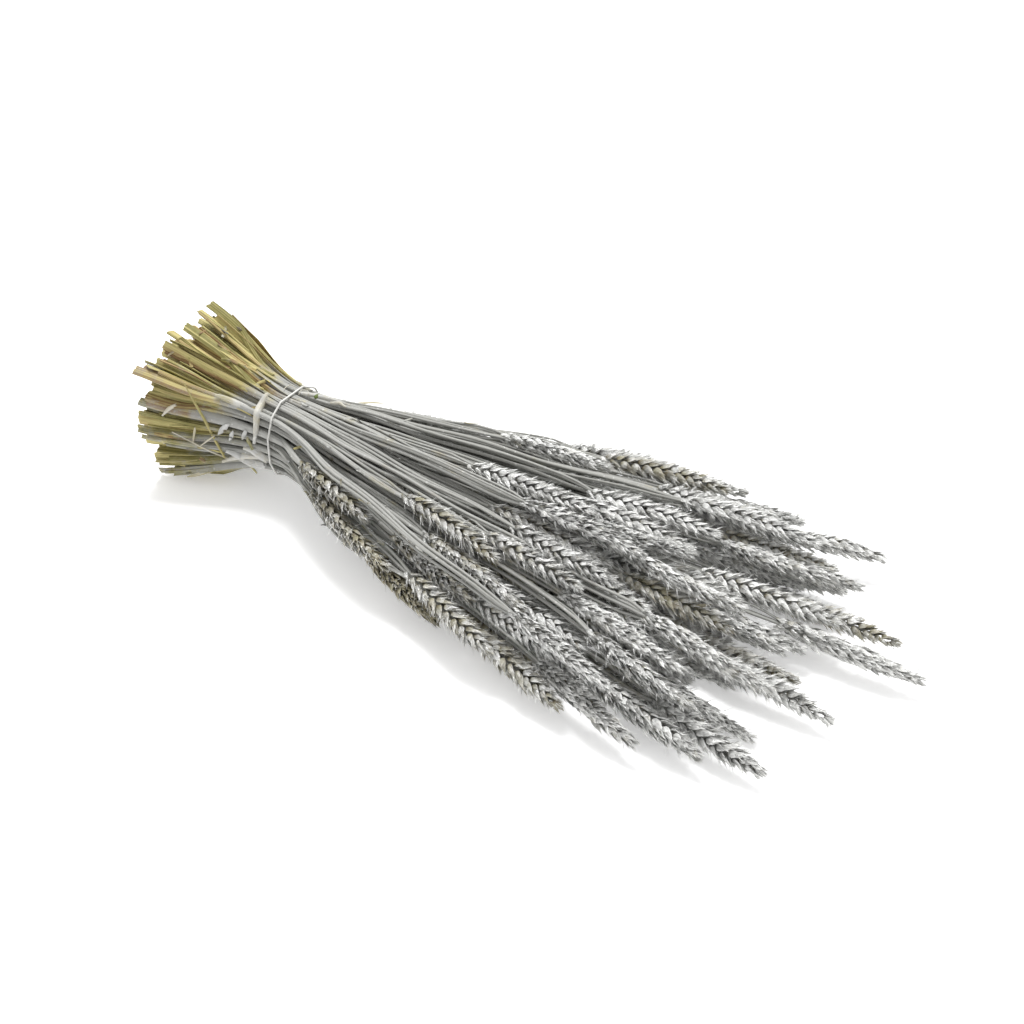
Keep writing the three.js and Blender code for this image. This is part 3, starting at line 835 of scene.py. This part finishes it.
def add_ear(piece, straw):
    """Spikelets at even steps of the axis, left and right by turns, and two at the top turned a quarter."""
    draw = np.random.default_rng(700 + straw["number"])
    neck, tip = straw["neck"], straw["tip"]
    count = int(round((np.linalg.norm(tip - neck) - 7 * MM) / draw.uniform(*SPIKELET_PITCH)))
    t = np.append(np.arange(count), [count, count]) / (count + 2.0) + FIRST
    middle = centre_line(straw, neck[0] + t * (tip[0] - neck[0]))
    line = centre_line(straw, np.linspace(neck[0], tip[0], AXIS_STEPS + 1))
    along, side, flat = frames_along(line, straw["roll"])
    pick = np.clip(np.round(t * AXIS_STEPS).astype(int), 0, AXIS_STEPS)
    along, side, flat = along[pick], side[pick], flat[pick]
    which = np.where(np.arange(count + 2) % 2, 1.0, -1.0)[:, None]
    out, fanwise = side * which, flat.copy()
    out[-2:], fanwise[-2:] = flat[-2:] * which[-2:], side[-2:]
    size = (0.68 + 0.32 * smoothstep(0, 0.2, t)) * (1 - 0.38 * smoothstep(0.55, 1.05, t))
    lean_by = 1 - (1 - TOP_LEAN) * smoothstep(0.66, 1.0, t)
    plump = draw.uniform(0.94, 1.1)
    # ears of the near side that start close to the band caught less spray, and their husks get a darker tone
    # as painted shade of that side
    leading = smoothstep(60 * MM, 200 * MM, neck[0] - BAND[0])
    low_side = smoothstep(10 * MM, -40 * MM, neck[1]) * (1 - leading)
    bare = draw.uniform(0.3, 0.65) if draw.random() < 0.18 else draw.uniform(-0.1, 0.15)
    bare = bare + 0.5 * low_side

    of = np.repeat(np.arange(count + 2), len(SPIKELET))
    n = len(of)
    shift, forward, spread, lean, keel_turn, long, half = (np.tile(c, count + 2) for c in SPIKELET.T)
    near = (0.4 + 0.6 * lean_by)[of]
    spread = np.radians(spread * near + draw.normal(0, 6.0, n))[:, None]
    lean = np.radians((lean + draw.normal(0, 4.5, n)) * lean_by[of])[:, None]
    keel_turn = np.radians(keel_turn + draw.normal(0, 12, n))[:, None]
    s = size[of] * plump * MM
    seat = near[:, None] * (1.1 * out[of] + shift[:, None] * fanwise[of]) + forward[:, None] * along[of]
    place_husks(
        piece,
        middle[of] + s[:, None] * seat,
        along[of] + np.tan(lean) * out[of] + np.tan(spread) * fanwise[of],
        np.cos(keel_turn) * out[of] + np.sin(keel_turn) * fanwise[of],
        long * s * draw.uniform(0.88, 1.08, n),
        half * s * draw.uniform(0.85, 1.12, n),
        CURL * lean_by[of] * draw.uniform(0.6, 1.4, n),
        draw.normal(1.05 - bare, 0.12, n),
        # painted shade: a darker tone on ears of the near side close to the band
        0.17 + 0.3 * draw.random() + 0.7 * draw.random(n) - 0.15 * low_side,
        draw,
    )
    of = np.repeat(np.arange(count + 2), BRISTLES)
    n = len(of)
    s = (size[of] * plump * MM)[:, None]
    lean = np.tan(np.radians(draw.uniform(5, 55, n)) * lean_by[of])[:, None]
    spread = np.tan(np.radians(np.clip(draw.normal(0, 22, n), -50, 50)))[:, None]
    way = unit(along[of] + lean * out[of] + spread * fanwise[of])
    seat = middle[of] + s * (1.5 * out[of] + 2 * spread * fanwise[of] + 3 * along[of] + 4.2 * way)
    reach = s * draw.uniform(3.5, 6.5, n)[:, None]
    place_bristles(piece, seat, reach * way, BRISTLE_R, 1.0, draw.uniform(0.4, 1.3, n))
    return count + 1


# %% [markdown]
# ## Torn leaves
#
# Four dry leaves stand off the outer straws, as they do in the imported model: each leaves its straw narrow,
# arches off and droops.

# %% Torn leaves
# Place along the straws from the band (mm), side of the bundle (degrees), length and lift (mm), paint.
TORN_LEAVES = [
    dict(node="wheat_stalks_43", at=-14, side=128, long=-24, lift=5, paint=0.5),
    dict(node="wheat_stalks_04", at=-36, side=212, long=-28, lift=6, paint=0.1),
    dict(node="wheat_stalks_47", at=24, side=62, long=22, lift=4, paint=0.35),
    dict(node="wheat_stalks_14", at=90, side=225, long=22, lift=6, paint=0.6),
]


def add_torn_leaf(piece, node, at, side, long, lift, paint):
    """Path = middle of the outermost straw on that side + (lift * sin(0.62 pi s) + 0.3 mm * s) outwards."""
    out = np.array([0, math.cos(math.radians(side)), math.sin(math.radians(side))])
    s = np.linspace(0, 0.9, 11)
    x = BAND[0] + (at + long * s) * MM
    own = [k for k in straws if k["node"] == node]
    straw = max(own, key=lambda k: centre_line(k, x[:1])[0] @ out)
    reach = (lift * np.sin(0.62 * math.pi * s) + 0.3 * s) * MM
    path = centre_line(straw, x) + reach[:, None] * out
    along = unit(np.gradient(path, axis=0))
    across = unit(np.cross(out, along))
    half = 2.4 * MM * np.interp(s, [0, 0.15, 0.45, 0.8, 0.9], [0.3, 0.8, 1.0, 0.7, 0.3])
    draw = np.random.default_rng(at + 900)
    curl = 0.7 + 0.5 * s
    points, faces, v = strip(path, across, np.cross(along, across), half, curl, LEAF_THICK)
    grain = strip_grain(6 * v, np.repeat(4 * s, 2 * COLUMNS), draw)
    piece.add(points, faces, grain, paint, 0.6, LEAF)


# %% [markdown]
# ## One piece for each pair of stalks
#
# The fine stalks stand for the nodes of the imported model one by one, so each keeps its name and place.

# %% Build the stalks
total = 0
laid = []
for name in sorted({s["node"] for s in straws}):
    piece = Piece()
    for straw in (s for s in straws if s["node"] == name):
        add_straw(piece, straw)
        for number in range(SHOOTS):
            add_shoot(piece, straw, number)
        for number in range(len(SHEATH_TURN)):
            add_sheath(piece, straw, number)
        total += add_ear(piece, straw)
    for torn in (leaf for leaf in TORN_LEAVES if leaf["node"] == name):
        add_torn_leaf(piece, **torn)
    fine = piece.build(name + "_fine", FINISHES)
    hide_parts(name)
    laid.append(piece)
print(total, "spikelets")

# %% [markdown]
# ## The elastic band
#
# A thin white elastic holds the bundle. Stretched, it takes the shortest way round the straws: the outline
# of all the straight lines that just touch them. Each line is given by its direction and its distance from
# the middle, and neighbouring lines cross in one corner of the loop.

# %% Elastic band
CORD_R = 0.62 * MM
CLEAR, STRAY = 0.25 * MM, 0.5 * MM  # how far it stands off the straws, and strays along them
LOOP, CORD_SIDES = 120, 10
turn = np.arange(LOOP) * 2 * math.pi / LOOP
in_band = np.array([s["band"] for s in straws])[:, 1:]
away = np.column_stack([np.cos(turn), np.sin(turn)])
reach = (in_band @ away.T).max(0) + BAND_R + CLEAR + CORD_R
step = 2 * math.pi / LOOP
corner = (
    reach[:, None] * np.column_stack([np.sin(turn + step), -np.cos(turn + step)])
    + np.roll(reach, -1)[:, None] * np.column_stack([-np.sin(turn), np.cos(turn)])
) / math.sin(step)
for _ in range(2):
    corner = (np.roll(corner, 1, axis=0) + 2 * corner + np.roll(corner, -1, axis=0)) / 4
way_out = np.column_stack([np.cos(turn + step / 2), np.sin(turn + step / 2)])
round_cord = np.arange(CORD_SIDES) * 2 * math.pi / CORD_SIDES
cord = np.empty((LOOP, CORD_SIDES, 3))
cord[..., 0] = BAND[0] + CORD_R * np.sin(round_cord) + STRAY * np.sin(3 * turn)[:, None]
cord[..., 1:] = corner[:, None] + (CORD_R * np.cos(round_cord))[None, :, None] * way_out[:, None]
cord_faces = grid_faces(LOOP + 1, CORD_SIDES) % (LOOP * CORD_SIDES)

net = Net("white elastic")
thread = net.noise(net.attribute("grain", "Vector"), 1.0, 2.0)
elastic_finish = net.finish(
    Base_Color=net.mix((0.44, 0.435, 0.41), (0.68, 0.67, 0.64), net.span(thread, 0.3, 0.7)),
    Roughness=0.6, Normal=net.bump(thread, 0.4, 0.0002),
)
elastic = Piece()
around = np.tile(round_cord, LOOP)
threads = np.column_stack([np.cos(around), np.sin(around), np.repeat(20 * np.sin(turn), CORD_SIDES)])
elastic.add(cord.reshape(-1, 3), cord_faces, threads, paint=1.0, tone=0.5, finish=0)
elastic = elastic.build("elastic_band_fine", [elastic_finish])
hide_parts("elastic_band")
edges = np.roll(corner, -1, axis=0) - corner
print("band loop", round(1000 * np.linalg.norm(edges, axis=1).sum()), "mm round")

# %% [markdown]
# ## Where a loose bit comes to lie
#
# Chaff and scraps of leaf lie on the outermost straws. A search tree of all the straws' faces answers
# where a line of sight, or a bit falling towards the middle of the bundle, meets the first straw.

# %% Landing places
starts = np.cumsum([0] + [len(piece.points) for piece in laid])
ground_points = np.concatenate([piece.points for piece in laid])
ground_faces = np.concatenate([piece.straw_faces + start for piece, start in zip(laid, starts)])
ground_faces = np.concatenate([ground_faces[:, :3], ground_faces[:, [0, 2, 3]]])
ground_faces = ground_faces[ground_faces[:, 1] != ground_faces[:, 2]]
ground = BVHTree.FromPolygons(ground_points.tolist(), ground_faces.tolist())
print(len(ground_faces), "faces to land on")

PATH_POINTS = 12  # of a loose bit
DEEPEST = 2.5 * MM  # how much further in a bit's next point may lie
SUNK = 0.4 * MM  # how far a stiff bit sinks in between the highest straws
FAR_OUT = 0.15  # m from the middle of the bundle, outside all of it
ON_TABLE = 2 * MM  # what lands lower than this has missed the bundle


def seen_at(across, down):
    """Distance from the camera to the nearest straw within two pixels, or None."""
    hits = [
        ground.ray_cast(EYE, sight(across + u, down + v))[3] for u in (-2, 0, 2) for v in (-2, 0, 2)
    ]
    hits = [h for h in hits if h is not None]
    return min(hits) if hits else None


def lay_path(pixels, rise, stiff):
    """A smooth path over the straws seen along a line of pixels. From one point to the next it goes at
    most DEEPEST further in, so it bridges the gaps, and a stiff one runs straight over the highest
    straws. It rises off them from nothing to rise."""
    corners = np.array(pixels, float)
    run = np.append(0, np.cumsum(np.linalg.norm(np.diff(corners, axis=0), axis=1)))
    line = monotone(run, corners, np.linspace(0, run[-1], PATH_POINTS))
    far = [seen_at(*pixel) for pixel in line]
    assert far[0] is not None, pixels
    missed = sum(f is None for f in far)
    if missed:
        print("off the straws at", missed, "of", PATH_POINTS, "points:", pixels)
    for k in range(1, PATH_POINTS):
        far[k] = min(far[k] or far[k - 1], far[k - 1] + DEEPEST)
    seen = np.array(far)
    far = seen.copy()
    for _ in range(2):
        far[1:-1] = (far[:-2] + 2 * far[1:-1] + far[2:]) / 4
    if stiff:
        straight = np.linspace(far[0], far[-1], PATH_POINTS)
        far = straight - (straight - far).max() + SUNK
    else:
        far = np.minimum(far, seen)
    far -= rise * np.linspace(0, 1, PATH_POINTS) ** 1.5
    return np.array([EYE + f * sight(*pixel) for f, pixel in zip(far, line)])


def fall(x, angle):
    """Where a bit that falls in towards the bundle's middle meets it at x: the place and its normal."""
    way = np.array([0.0, math.cos(angle), math.sin(angle)])
    here = [s for s in straws if s["cut"][0] < x < s["neck"][0]]
    middle = np.mean([centre_line(s, np.array([x]))[0] for s in here], axis=0)
    place, normal, _, _ = ground.ray_cast(middle + FAR_OUT * way, -way)
    if place is None or place.z < ON_TABLE:
        return None
    place, normal = np.array(place), np.array(normal)
    return place, normal if normal @ way > 0 else -normal


# %% [markdown]
# ## Loose leaves and stalks
#
# A few bits are big enough to know one by one: a pale leaf curled beside the band, a thin yellow straw
# across the cut ends, torn sheaths below them and dry scraps on the upper edge. Each is a strip whose path
# is looked up where the photograph shows it, so it lies on the straws there.

# %% Loose bits
# Where each lies in the photograph, from its fixed end; half width and rise off the straws at its end
# (mm); how far it curls across; paint and tone.
YELLOW_STRAW = ([(225, 458), (214, 438), (203, 417), (193, 400), (184, 383)], 1.5, 2.0, 1.4, -0.4, 0.42)
STALKS = {
    "pale_straw": ([(232, 460), (212, 452), (192, 442), (172, 432)], 1.1, 1.5, 1.6, 0.3, 0.9),
    "short_stub_1": ([(176, 405), (170, 408), (162, 416)], 1.5, 2.0, 0.6, 0.3, 1.0),
    "short_stub_2": ([(214, 436), (207, 441), (199, 447)], 0.8, 1.5, 1.2, 0.3, 0.9),
    "short_stub_3": ([(195, 428), (194, 435), (193, 442)], 1.1, 1.5, 1.2, 0.3, 0.8),
}
LOOSE_BITS = {
    "curled_leaf": ([(268, 393), (262, 403), (257, 414), (256, 428), (254, 444)], 3.2, 2.5, 1.1, 0.5, 0.9),
    "torn_sheath_1": ([(264, 464), (252, 461), (240, 456), (226, 451)], 3.2, 1.5, 0.7, 0.7, 1.0),
    "torn_sheath_2": ([(258, 457), (246, 456), (234, 458), (222, 462)], 2.4, 1.5, 0.6, 0.6, 0.9),
    "torn_sheath_3": ([(256, 456), (251, 446), (247, 437)], 1.3, 1.0, 0.9, 0.3, 0.3),
    "crumpled_sheath_1": ([(266, 465), (257, 463), (247, 460), (237, 457)], 4.4, 3.0, 0.5, 0.9, 1.0),
    "crumpled_sheath_2": ([(268, 461), (260, 455), (251, 450), (243, 448)], 3.2, 2.0, 0.8, 0.8, 0.9),
    "upper_sheath": ([(300, 393), (318, 396), (334, 400), (350, 405)], 1.9, 3.0, 0.9, 0.6, 0.7),
    "green_scrap": ([(314, 398), (318, 396), (324, 396)], 1.5, 2.0, 0.6, -0.4, -0.35),
    "upper_scrap_1": ([(284, 389), (288, 386), (292, 385), (295, 388)], 0.5, 1.5, 1.2, 0.3, 1.0),
    "upper_scrap_2": ([(299, 394), (302, 390), (307, 390), (309, 394)], 0.5, 1.5, 1.2, 0.3, 1.0),
    "upper_scrap_3": ([(330, 403), (338, 403), (346, 407)], 1.4, 1.5, 0.8, 0.5, 0.9),
}
WHOLE_HUSKS = {  # flat, and pointed at both ends
    "big_husk": ([(218, 435), (223, 429), (229, 424)], 1.9, 0.8, 0.7, 0.9, 0.7),
    "small_husk_1": ([(229, 441), (231, 437), (233, 431)], 1.5, 0.8, 0.9, 0.9, 0.8),
    "small_husk_2": ([(242, 440), (244, 435), (246, 430)], 1.5, 0.8, 0.9, 0.9, 0.6),
    "olive_husk": ([(252, 446), (249, 442), (247, 438)], 1.4, 0.8, 0.9, 0.2, 0.2),
}
bits = Piece()
draw = np.random.default_rng(41)


def add_bit(pixels, half, rise, curl, paint, tone, stiff=False, pointed=False, finish=LEAF):
    """A strip whose width swells and falls, to points at both ends or to a torn start and end."""
    path = lay_path(pixels, rise * MM, stiff)
    t = np.linspace(0, 1, len(path))
    along = unit(np.gradient(path, axis=0))
    across = unit(np.cross(unit(EYE - path), along))
    torn = (0.55 + 0.45 * np.sin(math.pi * np.clip(t * 1.1, 0, 1))) * (1 - 0.35 * t)
    width = half * MM * (np.sin(math.pi * (0.04 + 0.92 * t)) ** 0.8 if pointed else torn)
    ragged = draw.uniform(-0.8, 0.8, COLUMNS) * MM * (0 if pointed else 1)
    up = np.cross(along, across)
    points, faces, v = strip(path, across, up, width, curl + 0 * t, BIT_THICK, ragged)
    grain = strip_grain(5 * v, 3 * np.repeat(t, 2 * COLUMNS), draw)
    bits.add(points, faces, grain, paint + draw.normal(0, 0.05), tone, finish)


add_bit(*YELLOW_STRAW, stiff=True, finish=STRAW)
for bit in STALKS.values():
    add_bit(*bit, stiff=True)
for bit in LOOSE_BITS.values():
    add_bit(*bit)
for bit in WHOLE_HUSKS.values():
    add_bit(*bit, pointed=True)
bits = bits.build("loose_leaves", FINISHES)

# %% [markdown]
# ## Chaff
#
# Threshed husks and scraps of leaf have caught all over the bundle, most of them among the cut ends. They
# fall in from random sides and lie flat on the straw that they meet. The husks reuse the ear's husk.

# %% Chaff
# From and to (mm from the band), how many husks, how many scraps, their longest (mm), paint, and the
# sides from which they fall in (degrees from the far side, over the top).
CHAFF = [
    (-72, -10, 14, 90, 12, 0.15, 0, 360),
    (8, 120, 60, 40, 12, 0.9, 0, 360),
    (12, 115, 70, 60, 8, 0.6, 150, 235),
]
HUSK_OFF, SCRAP_OFF = 0.2 * MM, 0.4 * MM  # how far off the straw their middles lie
LOOSE_CURL = 0.06  # a loose husk is flatter than one on the ear
ALONG_SCRAP = np.linspace(-0.5, 0.5, 7)
draw = np.random.default_rng(57)
chaff = Piece()


def add_scrap(place, normal, heading, longest, paint):
    """Path = place + t * length * heading + 4 * t² * bow * normal, so its two ends stand up a little."""
    t = ALONG_SCRAP
    length = draw.uniform(4, longest) * MM
    bow = draw.uniform(0.0, 0.05) * length
    path = place + SCRAP_OFF * normal + (t * length)[:, None] * heading
    path = path + (4 * t**2 * bow)[:, None] * normal
    width = draw.uniform(0.5, 1.6) * MM * (1 - 1.2 * t**2)
    across, up = np.tile(np.cross(normal, heading), (len(t), 1)), np.tile(normal, (len(t), 1))
    torn = draw.uniform(-0.5, 0.5, COLUMNS) * MM
    points, faces, v = strip(path, across, up, width, 0.7 + 0 * t, SCRAP_THICK, torn)
    grain = strip_grain(4 * v, np.repeat(2 * t, 2 * COLUMNS), draw)
    chaff.add(points, faces, grain, draw.normal(paint, 0.25), draw.uniform(0.1, 1.0), STRAW)


caught = []  # the husks: seat, heading, keel, length, half width and paint of each
for first, last, husks, scraps, longest, paint, *sides in CHAFF:
    for k in range(husks + scraps):
        landed = fall(BAND[0] + draw.uniform(first, last) * MM, math.radians(draw.uniform(*sides)))
        if landed is None:
            continue
        place, normal = landed
        heading = draw.normal(0, 1, 3) + [draw.choice([-2.5, 2.5]), 0, 0]
        heading = unit(heading - (heading @ normal) * normal)
        if k < husks:
            size = draw.uniform(2.2, 5.5) * MM, draw.uniform(0.5, 1.2) * MM
            cover = draw.normal(paint, 0.2)
            caught.append((place + HUSK_OFF * normal, heading + 0.05 * normal, normal, *size, cover))
        else:
            add_scrap(place, normal, heading, longest, paint)
seat, heading, keel, long, half, cover = (np.array(v) for v in zip(*caught))
curl, shade = np.full(len(caught), LOOSE_CURL), 0.6 * draw.random(len(caught))
place_husks(chaff, seat, heading, keel, long, half, curl, cover, shade, draw)
chaff = chaff.build("chaff", FINISHES)
print(len(caught), "loose husks")

# %% [markdown]
# ## Table and light
#
# The bundle lies on a plain white table. A large lamp above and behind it gives the silver bright
# edges, on top of the painted highlights on the husks' tips and edges, and the white room fills the shadows.

# %% Table and lamps
bpy.context.scene.view_settings.view_transform = "Standard"

table_mesh = bpy.data.meshes.new("table")
table_mesh.from_pydata([(-3, -3, 0), (3, -3, 0), (3, 3, 0), (-3, 3, 0)], [], [(0, 1, 2, 3)])
table_mesh.materials.append(Net("pale table").finish(
    Base_Color=(0.9, 0.9, 0.9), Roughness=0.7, Emission_Color=(1.0, 1.0, 1.0), Emission_Strength=0.3,
))
table = bpy.data.objects.new("table", table_mesh)
bpy.context.scene.collection.objects.link(table)

world = bpy.data.worlds.new("studio")
bpy.context.scene.world = world
world.use_nodes = True
room = world.node_tree.nodes["Background"].inputs
room["Color"].default_value = (1, 1, 1, 1)
room["Strength"].default_value = 0.82


def softbox(name, place, aim, size, power):
    """A square lamp at place, facing aim."""
    light = bpy.data.lights.new(name, "AREA")
    light.size, light.energy = size, power
    lamp = bpy.data.objects.new(name, light)
    bpy.context.scene.collection.objects.link(lamp)
    lamp.location = place
    lamp.rotation_mode = "QUATERNION"
    lamp.rotation_quaternion = (Vector(aim) - Vector(place)).to_track_quat("-Z", "Y")


softbox("key", (-0.3, 0.4, 1.3), (0, 0, 0.03), 0.5, 21)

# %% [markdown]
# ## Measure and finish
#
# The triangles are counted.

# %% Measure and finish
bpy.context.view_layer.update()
sizes = [len(piece.data.loops) - 2 * len(piece.data.polygons) for piece in built]
print(sum(sizes), "triangles in all,", max(sizes), "in the largest piece")
